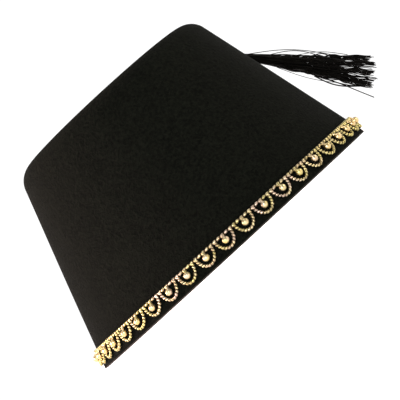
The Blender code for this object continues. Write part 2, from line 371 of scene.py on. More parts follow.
def felt_side(off, rings, lowest):
    """(radius, height) from the middle of the crown to a height above the rim, on one side of the felt: a
    parabola over the crown, an arc round the shoulder, and the straight wall."""
    crown_rings, arc_rings, wall_rings = rings
    share = np.linspace(0, 1, crown_rings, endpoint=False)[1:]
    crown = together(SHOULDER_REACH * share, HEIGHT + off - CROWN_DOME * share**2)
    angle = np.linspace(math.pi / 2, WALL_ANGLE, arc_rings)
    bend = SHOULDER_RADIUS + off
    arc = together(SHOULDER_REACH + bend * np.cos(angle), SHOULDER_HEIGHT + bend * np.sin(angle))
    height = np.linspace(arc[-1, 1], lowest, wall_rings + 1)[1:]
    radius = RIM_RADIUS + off / math.cos(WALL_ANGLE) - height * math.tan(WALL_ANGLE)
    return np.concatenate([crown, arc, together(radius, height)])


print(f"felt: the wall leans in by {math.degrees(WALL_ANGLE):.1f} degrees")

# %% [markdown]
# ## The felt itself
#
# Black wool felt swallows light: a matt base near black, hardly any gloss, and a faint sheen from the nap at
# grazing angles. Seen close, its fibres mat into tufts one and a half millimetres across, which catch the
# light from the side and leave a fine, even grain, and brushing leaves faint clouds a centimetre wide. Single
# fibres, each a fortieth of a millimetre thick, cross the tufts. A warped noise gives such lines where it
# crosses its middle value, drawn about one millimetre apart so that they show. Along the cut edge the felt is
# painted greyer: partly the cut fibres' own greyer ends, partly a painted highlight for the light that the edge
# catches.

# %% Felt: brushed black wool
TUFT = 0.0015
TUFT_DEPTH = 0.0020
CLOUD_SIZE = 0.014
CLOUD_SHARE = 0.12
FIBRE_SPACING = 0.0011  # half of the noise's size, in which it crosses its middle about twice
FIBRE_WIDTH = 0.09  # how far the noise may be from its middle value on a fibre
FIBRE_SHARE = 0.10
CUT_EDGE_LOW, CUT_EDGE_HIGH = 0.00054, 0.0009  # heights between which the cut edge's grey and its painted highlight fade out
NOISE_LOW, NOISE_MIDDLE, NOISE_HIGH = 0.36, 0.5, 0.64  # a noise seldom strays out of these
# The last colour is the cut edge's: the greyer ends of cut fibres, and a painted highlight for the light that
# the edge catches.
DEEP_BLACK, NAP_BLACK, CUT_GREY_AND_HIGHLIGHT = "#050604", "#10120D", "#3C3935"


def wool_felt():
    """The tufts and, a little, the clouds set the tone between two blacks. The relief is the tufts again,
    with lines on them where a second noise is near its middle value."""
    finish, tree, shader = new_finish("brushed wool felt", Roughness=0.85, Specular_IOR_Level=0.03,
                                      Sheen_Weight=0.008, Sheen_Roughness=0.4, Sheen_Tint=linear("#C9BDAA"))
    place = add(tree, "TexCoord").outputs["Object"]
    tufts = add(tree, "TexNoise", {"Vector": place, "Scale": 1 / TUFT, "Detail": 2.0, "Roughness": 0.6,
                                   "Distortion": 0.6})
    clouds = add(tree, "TexNoise", {"Vector": place, "Scale": 1 / CLOUD_SIZE, "Detail": 2.0})
    tone = add(tree, "Mix", {"Factor": CLOUD_SHARE, 2: tufts, 3: clouds})
    dyed = add(tree, "ValToRGB", {"Fac": tone})
    for end, position, black in ((0, NOISE_LOW, DEEP_BLACK), (1, NOISE_HIGH, NAP_BLACK)):
        dyed.color_ramp.elements[end].position = position
        dyed.color_ramp.elements[end].color = linear(black)
    apart = add(tree, "SeparateXYZ", {0: place})
    # Painted highlight: towards the cut edge the felt turns grey, partly the cut fibres' own greyer ends,
    # partly the light that the edge catches.
    cut_grey_and_highlight_mask = add(tree, "MapRange", {"Value": apart.outputs["Z"], "From Min": CUT_EDGE_LOW,
                                 "From Max": CUT_EDGE_HIGH, "To Min": 1.0, "To Max": 0.0})
    coloured = add(tree, "Mix", {"Factor": cut_grey_and_highlight_mask, 6: dyed, 7: linear(CUT_GREY_AND_HIGHLIGHT)}, data_type="RGBA")
    tree.links.new(coloured.outputs[2], shader.inputs["Base Color"])
    worms = add(tree, "TexNoise", {"Vector": place, "Scale": 0.5 / FIBRE_SPACING, "Detail": 3.0,
                                   "Roughness": 0.6, "Distortion": 1.6})
    off_middle = add(tree, "Math", {0: worms, 1: NOISE_MIDDLE}, operation="SUBTRACT")
    distance = add(tree, "Math", {0: off_middle}, operation="ABSOLUTE")
    fibres = add(tree, "MapRange", {"Value": distance, "From Max": FIBRE_WIDTH, "To Min": 1.0, "To Max": 0.0})
    relief = add(tree, "Mix", {"Factor": FIBRE_SHARE, 2: tufts, 3: fibres})
    bump = add(tree, "Bump", {"Height": relief, "Strength": 0.8, "Distance": TUFT_DEPTH})
    tree.links.new(bump.outputs["Normal"], shader.inputs["Normal"])
    return finish


WOOL_FELT = wool_felt()
print(f"felt: tufts of {MM * TUFT:.1f} mm, fibres {MM * FIBRE_SPACING:.1f} mm apart")

# %% [markdown]
# A sheet with the Solidify modifier would give the cap its thickness, but leave the corners of the cut edge
# sharp. So one outline runs over the crown, down the wall, round the edge and back up inside, and is spun.

# %% The felt cap
CAP_COLUMNS = 288
OUTSIDE_RINGS = 30, 20, 64  # over the crown, round the shoulder, down the wall
INSIDE_RINGS = 16, 12, 40
CORNER_RINGS = 8  # round each corner of the cut edge
STILL_CROWN = 0.6  # share of the crown's flat, from its middle, that doesn't swell


def felt_cap():
    """The outline of both sides and the cut edge between them, spun round the leaning axis and swelled."""
    half_angle = (math.pi / 2 + WALL_ANGLE) / 2  # half of the turn from the wall to the level edge
    wall_foot = EDGE_RADIUS * math.tan(half_angle) * math.cos(WALL_ANGLE)
    inner_foot = EDGE_RADIUS * (1 - math.sin(WALL_ANGLE))
    outside = felt_side(0.0, OUTSIDE_RINGS, wall_foot)
    inside = felt_side(-FELT, INSIDE_RINGS, inner_foot)
    off_wall = EDGE_RADIUS * np.array([math.cos(WALL_ANGLE), math.sin(WALL_ANGLE)])
    corners = [
        (outside[-1] - off_wall, np.linspace(WALL_ANGLE, -math.pi / 2, CORNER_RINGS)[1:]),
        (inside[-1] + off_wall, np.linspace(-math.pi / 2, WALL_ANGLE - math.pi, CORNER_RINGS)[:-1]),
    ]
    edge = [middle + EDGE_RADIUS * together(np.cos(turn), np.sin(turn)) for middle, turn in corners]
    outline = np.concatenate([outside, *edge, inside[::-1]])
    outline[:, 1] -= outline[:, 1].min()
    turn = evenly_round(CAP_COLUMNS)
    radius, height = outline[:, :1], outline[:, 1:]
    swelled = np.clip((radius / SHOULDER_REACH - STILL_CROWN) / (1 - STILL_CROWN), 0, 1)
    radius = radius + swelled * swell(turn, height)
    points = leaned(radius * np.cos(turn), radius * np.sin(turn), height)
    make_piece("felt_cap", [skin(points[None])], WOOL_FELT, "felt", "felt_shell")


felt_cap()

# %% [markdown]
# ## The gilt braid
#
# The braid is gimp: gilt thread wound over soft cords, which are twisted and drawn tight, so that they stand
# up in slanting lumps like a row of grains. The header has five lumps to a scallop. A loop of the same cord,
# a shade thinner, hangs from the first and the fifth, and a round bead from the third.
#
# Twisting two real plies gives such lumps too, but shallow ones. The eye reads this braid by the dark notches
# between the lumps, so each lump is half an ellipse along the cord, and the rings lean, which slants the
# notches. Points are written as (along the header, up the wall, off the felt), which lays each loop exactly
# on the slanting wall.

# %% Sizes of the braid
SCALLOPS = 44
LUMPS_PER_SCALLOP = 5
BRAID_UP = 0.0107
LOOP_DROP = 0.0075
BEAD_DROP = 0.0035
BEAD_RADIUS = 0.0019
HEADER_REACH = RIM_RADIUS - BRAID_UP * math.sin(WALL_ANGLE)
PITCH = math.tau * HEADER_REACH / SCALLOPS
LUMP = PITCH / LUMPS_PER_SCALLOP
RINGS_PER_LUMP = 8
NOTCH_DEPTH = 0.48  # share of the cord's radius that is gone at a notch
SLANT = 0.50  # how far a ring leans along the cord, for each step across it
SCALLOP_TURNS = evenly_round(SCALLOPS)[:, None, None]


def lump_grid(lumps):
    """(share of the path, share of a lump from -1 to 1) at each ring. The rings crowd towards the notches,
    where the surface turns: within a lump they stand at the cosine of evenly spaced angles."""
    inside = -np.cos(math.pi * np.arange(RINGS_PER_LUMP) / RINGS_PER_LUMP)
    places = (np.arange(lumps)[:, None] + (1 + inside) / 2).ravel() / lumps
    return places, np.tile(inside, lumps)


def lumped(path, ahead, radius, inside, columns):
    """Rings round a path whose radius follows half an ellipse over each lump: the square root of 1 less the
    square of the share along it, down to the notch. Each ring leans along the path in step with its points'
    distance across it."""
    swelling = radius * np.sqrt(1 - (1 - (1 - NOTCH_DEPTH) ** 2) * inside**2)
    off = np.array([0.0, 0.0, 1.0])
    leaning = (np.cross(off, ahead) + SLANT * ahead)[:, None]
    angle = evenly_round(columns)[:, None]
    return path[:, None] + swelling[:, None, None] * (np.cos(angle) * leaning + np.sin(angle) * off)


def wrapped_on_hat(flat, turn=0.0):
    """Flat points (along the header, up the wall, off the felt), laid on the hat at a turn."""
    return on_wall(turn + flat[..., 0] / HEADER_REACH, flat[..., 1], flat[..., 2])


def mark_notches(piece, notch):
    """Stores how near each point is to a notch, for the painted shade in the notches. Points past the given
    ones close an end and lie in one.
    """
    rest = len(piece.data.vertices) - len(notch)
    layer = piece.data.attributes.new("notch", "FLOAT", "POINT")
    layer.data.foreach_set("value", np.concatenate([notch, np.ones(rest)]).astype(np.float32))


print(f"braid: {SCALLOPS} scallops of {MM * PITCH:.1f} mm, a lump every {MM * LUMP:.1f} mm")

# %% [markdown]
# Gilt thread is a polyester film with a metal coat, slit and wound on a core. It mirrors at the scale of one
# winding, so the finish is metallic with a middling roughness, and the windings are a fine ripple along the
# cord. Real windings are a tenth of a millimetre apart, and here three times as far, so that they show. The
# film is worn here and there, and where the lumps meet it is darkened with painted shade. The beads are
# moulded and metallised, and so round that each mirrors the boxes as one broad spot. Dye lots differ, so some
# stretches and beads are yellower and some rosier. Towards both sides of the hat the gilt turns a yellower
# gold: a painted reflection of the deeper yellow that the sides mirror.

# %% Gilt thread and gilt beads
WINDING, WINDING_DEPTH = 0.00033, 0.00004
DIMPLE, DIMPLE_DEPTH = 0.0011, 0.00030
DYE_PATCH = 0.008
SIDE_REFLECTION_FROM = 0.045  # half of the width of the front; beyond it the gilt turns towards a yellower gold, a painted reflection
NOTCH_SHADE_FROM, NOTCH_SHADE_FULL = 0.16, 0.74  # where the painted shade of a notch starts on the gilt, and where it is deepest
SCUFFED_AT, CLEAN_AT, SCUFF_SHARE = 0.38, 0.62, 0.45  # noise of the worst scuffs, of none, and their share


def ripples(tree, place, spacing):
    """A sine of a coordinate, with one wave to a spacing."""
    phase = add(tree, "Math", {0: place, 1: math.tau / spacing}, operation="MULTIPLY")
    return add(tree, "Math", {0: phase}, operation="SINE")


def gold_hues(tree, yellow, rosy, side_reflection_gold, detail):
    """A colour between two golds, by a noise as coarse as a patch of dye. Towards both sides of the hat it
    turns into a yellower gold: a painted reflection of the deeper yellow that the gilt on the sides mirrors."""
    place = add(tree, "TexCoord").outputs["Object"]
    hue = add(tree, "TexNoise", {"Vector": place, "Scale": 1 / DYE_PATCH, "Detail": detail})
    share = add(tree, "MapRange", {"Value": hue, "From Min": NOISE_LOW, "From Max": NOISE_HIGH})
    mixed = add(tree, "Mix", {"Factor": share, 6: linear(yellow), 7: linear(rosy)}, data_type="RGBA")
    # Painted reflection: towards both sides of the hat the gold turns into a yellower one, for the deeper
    # yellow that the gilt on the sides reflects.
    apart = add(tree, "SeparateXYZ", {0: place})
    aside = add(tree, "Math", {0: apart.outputs["X"]}, operation="ABSOLUTE")
    side_reflection_share = add(tree, "MapRange", {"Value": aside, "From Min": SIDE_REFLECTION_FROM, "From Max": RIM_RADIUS})
    gold = add(tree, "Mix", {"Factor": side_reflection_share, 6: mixed.outputs[2], 7: linear(side_reflection_gold)}, data_type="RGBA")
    return place, gold.outputs[2]


def gilt_thread():
    """The attribute notch, 0 on a lump and 1 between two, darkens the film with painted shade between the
    lumps, and a noise as fine as a lump scuffs it. A sine of the run along the cord makes the windings."""
    finish, tree, shader = new_finish("wound gilt thread", Metallic=1.0, Roughness=0.32)
    place, gold = gold_hues(tree, "#CFC486", "#DDC6B2", "#DACA7E", 2.0)
    scuffs = add(tree, "TexNoise", {"Vector": place, "Scale": 1 / LUMP, "Detail": 1.0})
    worn = add(tree, "MapRange", {"Value": scuffs, "From Min": SCUFFED_AT, "From Max": CLEAN_AT,
                                  "To Min": SCUFF_SHARE, "To Max": 0.0})
    scuffed = add(tree, "Mix", {"Factor": worn, 6: gold, 7: linear("#4A3716")}, data_type="RGBA")
    # Painted shade: between the lumps the gilt is darkened towards a deep brown, where the notches lie in
    # shade.
    notch = add(tree, "Attribute", attribute_name="notch")
    notch_shade = add(tree, "MapRange", {"Value": notch.outputs["Fac"], "From Min": NOTCH_SHADE_FROM,
                                  "From Max": NOTCH_SHADE_FULL})
    shaded = add(tree, "Mix", {"Factor": notch_shade, 6: scuffed.outputs[2], 7: linear("#33240C")}, data_type="RGBA")
    tree.links.new(shaded.outputs[2], shader.inputs["Base Color"])
    run = add(tree, "SeparateXYZ", {0: add(tree, "UVMap", uv_map="UVMap")})
    windings = ripples(tree, run.outputs["X"], MM * WINDING)
    ridge = add(tree, "MapRange", {"Value": windings, "From Min": -1.0, "From Max": 1.0})
    bump = add(tree, "Bump", {"Height": ridge, "Strength": 0.35, "Distance": WINDING_DEPTH})
    tree.links.new(bump.outputs["Normal"], shader.inputs["Normal"])
    return finish


def gilt_bead():
    """A metallised bead, some yellower and some rosier, with the shallow dimples of its worn coat."""
    finish, tree, shader = new_finish("metallised bead", Metallic=1.0, Roughness=0.34)
    place, gold = gold_hues(tree, "#CDBF7C", "#D2BFA6", "#DDBE88", 1.0)
    tree.links.new(gold, shader.inputs["Base Color"])
    dimples = add(tree, "TexNoise", {"Vector": place, "Scale": 1 / DIMPLE, "Detail": 2.0})
    bump = add(tree, "Bump", {"Height": dimples, "Strength": 0.6, "Distance": DIMPLE_DEPTH})
    tree.links.new(bump.outputs["Normal"], shader.inputs["Normal"])
    return finish


GILT_THREAD = gilt_thread()
GILT_BEAD = gilt_bead()
print(f"gilt: windings {MM * WINDING:.2f} mm apart, patches of dye {MM * DYE_PATCH:.0f} mm wide")

# %% [markdown]
# The header is the cord that carries the loops and the beads. A grain for each lump would be two hundred
# closed shapes that cut into each other, so it is one tube round the hat whose radius swells and shrinks.

# %% The header
HEADER_RADIUS = 0.00092
HEADER_COLUMNS = 12


def braid_header():
    """One cord of grains all the way round, with its rings joined. It starts half a lump on, so that each
    bead and each end of a loop hangs from the middle of a lump."""
    places, inside = lump_grid(SCALLOPS * LUMPS_PER_SCALLOP)
    run = places * SCALLOPS * PITCH + LUMP / 2
    path = together(run, BRAID_UP, GAP + HEADER_RADIUS)
    ahead = np.array([[1.0, 0.0, 0.0]])
    rings = wrapped_on_hat(lumped(path, ahead, HEADER_RADIUS, inside, HEADER_COLUMNS))
    skins = [skin(rings[None], joined=True, run=run[None])]
    piece = make_piece("braid_header", skins, GILT_THREAD, "gilt", "gilt_braid")
    mark_notches(piece, np.repeat(inside**2, HEADER_COLUMNS))


braid_header()

# %% [markdown]
# A curve with a round bevel would leave a loop smooth. So its line is worked out once, in the flat, and the
# same lumps are set along it. All forty-four are that loop at another turn of the hat.

# %% The loops
LOOP_RADIUS = 0.00090
LOOP_LUMPS = 12
LOOP_COLUMNS = 10
LOOP_NOTCH_SHADE = 0.80  # how deep the painted shade in a loop's notches is beside the header's
HALF_WIDTH = 2 * LUMP
FINE_POINTS = 600  # of the polygon on which a loop is measured
TANGENT_REACH = 0.0003  # the tangent is read over this far either side


def unit(vectors):
    """Vectors of length 1 that point the same way."""
    return vectors / np.linalg.norm(vectors, axis=-1, keepdims=True)


def points_at(places, run, line):
    """Points of a line at the given places along it, where run says how far along its own points lie."""
    return together(*(np.interp(places, run, values) for values in line.T))


def braid_loops():
    """Each loop hangs as half an ellipse: the cosine of a turn across and its sine down. Its length is
    measured on a fine polygon, so that its lumps come out even."""
    turn = np.linspace(0, math.pi, FINE_POINTS)
    across, down = HALF_WIDTH * np.cos(turn), LOOP_DROP * np.sin(turn)
    fine = together(across, BRAID_UP - down, GAP + LOOP_RADIUS)
    length = run_along(fine)
    places, inside = lump_grid(LOOP_LUMPS)
    places, inside = np.append(places, 1.0), np.append(inside, 1.0)
    run = places * length[-1]
    path = points_at(run, length, fine)
    ahead = points_at(run + TANGENT_REACH, length, fine) - points_at(run - TANGENT_REACH, length, fine)
    loop = lumped(path, unit(ahead), LOOP_RADIUS, inside, LOOP_COLUMNS)
    rings = wrapped_on_hat(loop[None], SCALLOP_TURNS)
    skins = [skin(rings, run=np.broadcast_to(run, rings.shape[:2]))]
    piece = make_piece("braid_loops", skins, GILT_THREAD, "gilt", "gilt_braid")
    mark_notches(piece, np.tile(np.repeat(LOOP_NOTCH_SHADE * inside**2, LOOP_COLUMNS), SCALLOPS))
    print(f"loops: {MM * length[-1]:.1f} mm of cord each")


braid_loops()

# %% [markdown]
# A bead hangs by a short stem of wound thread. A sphere stuck on a cylinder would leave a hard edge where
# they meet. So both are one turned surface, whose radius melts the one into the other.

# %% The beads
BEAD_RINGS = 24
BEAD_COLUMNS = 20
STEM_RADIUS = 0.0009
MELT = 4  # a higher power leaves a harder neck


def braid_beads():
    """Circles round a line that leans out from the header's middle through the bead. Their radius is the
    sphere's (its square is the bead's radius squared less the distance from the middle squared), melted
    into the stem's: both are raised to a power, added, and the root is taken."""
    start = np.array([BRAID_UP, GAP + HEADER_RADIUS])
    middle = np.array([BRAID_UP - BEAD_DROP, GAP + BEAD_RADIUS])
    reach = np.linalg.norm(middle - start)
    along = (middle - start) / reach
    side = np.array([-along[1], along[0]])
    place = (reach + BEAD_RADIUS) * (1 - np.cos(np.linspace(0, math.pi, BEAD_RINGS))[:-1]) / 2
    sphere = np.sqrt(np.clip(BEAD_RADIUS**2 - (place - reach) ** 2, 0, None))
    stem = np.where(place < reach, STEM_RADIUS, 0.0)
    radius = ((sphere**MELT + stem**MELT) ** (1 / MELT))[:, None]
    angle = evenly_round(BEAD_COLUMNS)
    middles = start + place[:, None] * along
    flat = together(
        radius * np.cos(angle),
        middles[:, :1] + side[0] * radius * np.sin(angle),
        middles[:, 1:] + side[1] * radius * np.sin(angle),
    )
    skins = [skin(wrapped_on_hat(flat[None], SCALLOP_TURNS))]
    make_piece("braid_beads", skins, GILT_BEAD, "gilt", "gilt_braid")


braid_beads()

# %% [markdown]
# ## The tassel's cord
#
# The cord that carries the tassel can't be seen in the photograph: it lies behind the hat. A plain
# two-millimetre cord of three plies does the work. Its route is a smooth curve through listed points:
# from the button over the crown, round the shoulder and down the wall to the tassel's head.

# %% The cord's route
TASSEL_TURN = math.radians(26.0)
CORD_RADIUS = 0.0010
CORD_STEP = 0.0005  # between two rings of a ply
POINTS_PER_SPAN = 24
CORD_ROUTE = [
    # (reach from the hat's leaning axis, sideways, height), in millimetres
    (5.8, 0.0, 111.3), (12.0, 0.6, 111.3), (20.0, 1.8, 111.2), (30.0, 2.6, 111.0), (40.0, 2.0, 110.7),
    (49.0, 0.6, 110.4), (54.5, -0.4, 110.2), (59.1, -0.9, 109.2), (63.0, -1.0, 106.6), (65.6, -0.8, 103.4),
    (67.0, -0.5, 99.6), (68.4, -0.2, 95.0), (69.7, 0.0, 91.0), (71.3, 0.0, 87.9), (72.9, 0.0, 85.4),
]


def in_tassel_plane(reach, sideways, height):
    """Points by their reach from the leaning axis in the tassel's upright plane, sideways, and height."""
    cosine, sine = math.cos(TASSEL_TURN), math.sin(TASSEL_TURN)
    return leaned(reach * cosine - sideways * sine, reach * sine + sideways * cosine, height)


def smooth_route(points, step):
    """Points a step apart on a smooth curve: each span between two given points is a cubic, whose slope at
    both ends comes from the neighbours on either side."""
    slopes = np.gradient(points, axis=0)
    share = np.linspace(0, 1, POINTS_PER_SPAN, endpoint=False)[None, :, None]
    here, there, leaving, arriving = points[:-1, None], points[1:, None], slopes[:-1, None], slopes[1:, None]
    curve = (
        (1 + 2 * share) * (1 - share) ** 2 * here
        + share * (1 - share) ** 2 * leaving
        + share**2 * (3 - 2 * share) * there
        - share**2 * (1 - share) * arriving
    ).reshape(-1, 3)
    curve = np.concatenate([curve, points[-1:]])
    run = run_along(curve)
    places = np.linspace(0, run[-1], round(run[-1] / step) + 1)
    return places, points_at(places, run, curve)


def tube(middle, across, ahead, radius, columns):
    """Circles round a line, as points[..., ring, column]. They stand on a direction across, which is square
    to the way ahead, and on the cross product of both."""
    out = np.cross(ahead, across)
    angle = evenly_round(columns)
    ring = np.cos(angle)[:, None] * across[..., None, :] + np.sin(angle)[:, None] * out[..., None, :]
    return middle[..., None, :] + np.asarray(radius)[..., None, None] * ring


cord_run, cord_path = smooth_route(in_tassel_plane(*np.array(CORD_ROUTE).T / MM), CORD_STEP)
print(f"cord: {MM * cord_run[-1]:.0f} mm long")

# %% [markdown]
# Artificial silk is a smooth continuous filament, so even in black it has a soft gloss along each thread. A
# hair shader would give it, but is lost in an export, so a plain one with a low gloss does. The dye isn't
# even: a fine noise in its depth keeps the strands from merging into one flat black.

# %% Black artificial silk
SILK_PATCH = 0.0016  # over which the depth of the dye changes


def black_silk():
    """Near black, with the gloss of a filament and a dye that is deeper here and there."""
    finish, tree, shader = new_finish("black artificial silk", Roughness=0.42, Specular_IOR_Level=0.04)
    place = add(tree, "TexCoord").outputs["Object"]
    depth = add(tree, "TexNoise", {"Vector": place, "Scale": 1 / SILK_PATCH, "Detail": 2.0})
    dye = add(tree, "Mix", {"Factor": depth, 6: linear("#030302"), 7: linear("#0B0907")}, data_type="RGBA")
    tree.links.new(dye.outputs[2], shader.inputs["Base Color"])
    return finish


SILK = black_silk()
print(f"silk: the dye changes over {MM * SILK_PATCH:.1f} mm")

# %% [markdown]
# A cord could be one tube with a bumpy finish. Three round tubes that wind about the route give real grooves,
# which also show in its outline.

# %% The cord
CORD_PLIES = 3
CORD_LAY = 0.0075  # one full turn of a ply
PLY_RADIUS = 0.52 * CORD_RADIUS
PLY_COLUMNS = 10


def silk_cord():
    """Three round plies wind about the route, and together they are as thick as the cord. Across is the cross
    product of the normal of the tassel's plane and the way ahead, so no ply's circles twist."""
    ahead = unit(np.gradient(cord_path, axis=0))
    across = unit(np.cross(np.array([-math.sin(TASSEL_TURN), math.cos(TASSEL_TURN), 0.0]), ahead))
    out = np.cross(ahead, across)
    wind = (math.tau * (cord_run / CORD_LAY + np.arange(CORD_PLIES)[:, None] / CORD_PLIES))[..., None]
    middle = cord_path + (CORD_RADIUS - PLY_RADIUS) * (np.cos(wind) * across + np.sin(wind) * out)
    skins = [skin(tube(middle, across, ahead, PLY_RADIUS, PLY_COLUMNS))]
    return make_piece("silk_cord", skins, SILK, "silk", "tassel_cord")


cord = silk_cord()

# %% [markdown]
# ## The tassel
#
# A tassel is a bundle of strands folded over the cord, bound below the fold, and cut. The head is that fold
# under a few turns of thread, and the strands fan out below the binding, in locks that cling together and
# part towards the tips. A part has to be real geometry, not hair, so each strand is a thin six-sided tube.

# %% Where the tassel hangs
TASSEL_HEIGHT = 0.0825
TASSEL_DIP = math.radians(45.8)
HEAD_RADIUS = 0.0027
NECK_RADIUS = 0.0013
NECK_START = 0.0026
SKIRT_START = 0.0065
SPREAD = math.tan(math.radians(6.5))

head_reach = RIM_RADIUS - TASSEL_HEIGHT * math.tan(WALL_ANGLE) + (HEAD_RADIUS + GAP) / math.cos(WALL_ANGLE)
HEAD_PLACE = in_tassel_plane(head_reach, 0.0, TASSEL_HEIGHT)
outward = np.array([math.cos(TASSEL_TURN), math.sin(TASSEL_TURN), 0.0])
DOWN_TASSEL = math.cos(TASSEL_DIP) * outward + np.array([0, 0, -math.sin(TASSEL_DIP)])
OFF_HAT = math.sin(TASSEL_DIP) * outward + np.array([0, 0, math.cos(TASSEL_DIP)])
SIDEWAYS = np.cross(DOWN_TASSEL, OFF_HAT)
NEVER_AHEAD = SIDEWAYS + 0.37 * OFF_HAT + 0.11 * DOWN_TASSEL  # a skew direction that no thread runs along


def in_tassel(along, off, sideways):
    """Points by their distance down the tassel, off the hat and to the side, from the head's middle."""
    along, off, sideways = (np.asarray(value)[..., None] for value in (along, off, sideways))
    return HEAD_PLACE + along * DOWN_TASSEL + off * OFF_HAT + sideways * SIDEWAYS


def thread(along, off, sideways, radius, columns):
    """A thin tube along a line that is given by its three coordinates in the tassel."""
    middle = in_tassel(along, off, sideways)
    ahead = unit(np.gradient(middle, axis=-2))
    return tube(middle, unit(np.cross(ahead, NEVER_AHEAD)), ahead, radius, columns)


def bundle_radius(along):
    """Radius of the bundle at a distance down the tassel: the neck's, and widening from the skirt on."""
    return NECK_RADIUS + np.clip(along - SKIRT_START, 0, None) * SPREAD


print(f"tassel: head at {[round(MM * value) for value in HEAD_PLACE.tolist()]} mm")

# %% [markdown]
# The head is wound with its own thread, and a few tight turns bind the neck. A ball with a bump would look
# smooth in outline, so a real thread winds over both.

# %% The head and its binding
HEAD_THREAD, HEAD_TURNS = 0.00034, 9
BINDING_THREAD, BINDING_TURNS = 0.00030, 7
POINTS_PER_HEAD_TURN, POINTS_PER_BINDING_TURN = 20, 18
CORE_LATITUDES = 0.15, 2.55  # radians from the head's top between which its core is a sphere
WOUND_LATITUDES = 0.25, 2.50  # and thread is wound over it
CORE_NECK = 0.9 * NECK_START, SKIRT_START + 0.001  # a little longer than the binding at both ends
CORE_RINGS, CORE_COLUMNS = 16, 20
THREAD_COLUMNS = 8


def wound(along, radius, turns, thickness):
    """A thread wound about the tassel's axis: a spiral that keeps the given radius at each place along it."""
    wind = np.linspace(0, math.tau * turns, len(along))
    return thread(along, radius * np.cos(wind), radius * np.sin(wind), thickness, THREAD_COLUMNS)


def tassel_head():
    """A ball and a neck turned round the tassel's axis, and the thread that is wound over each."""
    ball = HEAD_RADIUS - HEAD_THREAD
    latitude = np.linspace(*CORE_LATITUDES, CORE_RINGS)
    along = np.concatenate([-np.cos(latitude) * ball, CORE_NECK])[:, None]
    radius = np.concatenate([np.sin(latitude) * ball, [NECK_RADIUS, NECK_RADIUS]])[:, None]
    angle = evenly_round(CORE_COLUMNS)
    core = in_tassel(along + 0 * angle, radius * np.cos(angle), radius * np.sin(angle))

    latitude = np.linspace(*WOUND_LATITUDES, HEAD_TURNS * POINTS_PER_HEAD_TURN)
    over_ball = wound(-ball * np.cos(latitude), ball * np.sin(latitude), HEAD_TURNS, HEAD_THREAD)
    neck = np.linspace(NECK_START, SKIRT_START, BINDING_TURNS * POINTS_PER_BINDING_TURN)
    binding = wound(neck, NECK_RADIUS, BINDING_TURNS, BINDING_THREAD)
    return make_piece("tassel_head", [skin(part[None]) for part in (core, over_ball, binding)], SILK, "silk")


head = tassel_head()

# %% [markdown]
# The photograph shows the skirt from the side: a flat upper line, white slits between the locks in its lower
# half, and ragged tips. So each lock's seat and length are set one by one, and only the waves and the uneven
# ends are drawn by lot, with a fixed seed that keeps the tassel the same.

# %% The strands
STRAND_RINGS = 48
STRAND_COLUMNS = 6
STRAND_RADIUS = 0.00030
STRAND_ROOT = 0.003  # how far inside the neck the strands start
TIP_THINNING = 0.25  # share of its radius that a strand loses, nearly all of it at its tip
LOCK_WIDTH = 0.36, 0.115  # radius of a lock by the binding and at its tip, as a share of the bundle's
LOCK_WAVE, LOCK_SWAY = 0.017, 0.0006  # length and height of a lock's waves
STRAND_WAVE, STRAND_SWAY = 0.014, 0.0003
PACES = 0.75, 1.3  # between which the number of waves varies
LOCKS = [
    # (seat off the hat and seat sideways, as shares of the room for it, how far its tip is, its strands)
    (0.91, 0.40, 0.0840, 8),
    (1.00, 0.09, 0.0839, 7),
    (0.31, 0.92, 0.0851, 7),
    (0.96, -0.29, 0.0857, 7),
    (0.51, -0.11, 0.0880, 7),
    (-0.18, 0.72, 0.0852, 7),
    (0.10, -0.29, 0.0875, 8),
    (-0.57, 0.45, 0.0859, 7),
    (-0.32, -0.60, 0.0880, 7),
    (-0.61, -0.19, 0.0836, 7),
    (-0.87, 0.20, 0.0854, 8),
    (-0.72, -0.36, 0.0865, 7),
]
LOCKS_PART = 0.40, 0.88  # shares of the length between which each lock draws together
TIP_RAGGEDNESS = 0.0008
WANDERERS = 10  # strands that cross from lock to lock
WANDERER_LENGTH, WANDERER_RAGGEDNESS = 0.080, 0.003
WANDERER_SEATS = 0.8  # how far out they may lie, as a share of the bundle's radius
GOLDEN_ANGLE = math.pi * (3 - math.sqrt(5))
random = np.random.default_rng(6538)


def swaying(count, along, wave, sway, share):
    """Two slow waves for each of a number of lines, off the hat and sideways, each with a pace and a start of
    its own. They are highest well below the middle and die out at both ends."""
    pace = random.uniform(*PACES, (2, count, 1))
    phase = random.uniform(0, math.tau, (2, count, 1))
    return sway * np.sin(math.pi * share**2) * np.sin(math.tau * along / wave * pace + phase)


def down_bundle(length):
    """(share of the length, distance down the tassel, radius of the bundle) along strands of a length."""
    share = np.linspace(0, 1, STRAND_RINGS)
    start = SKIRT_START - STRAND_ROOT
    along = start + share * (length[:, None] - start)
    return share, along, bundle_radius(along)


def wandering_strands():
    """Strands that cross the bundle from one seat in its round to another, in step with the share of their
    length. A seat's distance from the middle is the root of an even draw, which fills a disc evenly."""
    length = WANDERER_LENGTH + random.normal(0, WANDERER_RAGGEDNESS, WANDERERS)
    share, along, width = down_bundle(length)
    angle = random.uniform(0, math.tau, (2, WANDERERS, 1))
    radius = WANDERER_SEATS * np.sqrt(random.uniform(0, 1, (2, WANDERERS, 1)))
    lines = swaying(WANDERERS, along, STRAND_WAVE, STRAND_SWAY, share)
    start, end = np.moveaxis(radius * np.array([np.cos(angle), np.sin(angle)]), 1, 0)
    lines += width * (start + (end - start) * share)
    return thread(along, *lines, STRAND_RADIUS, STRAND_COLUMNS)


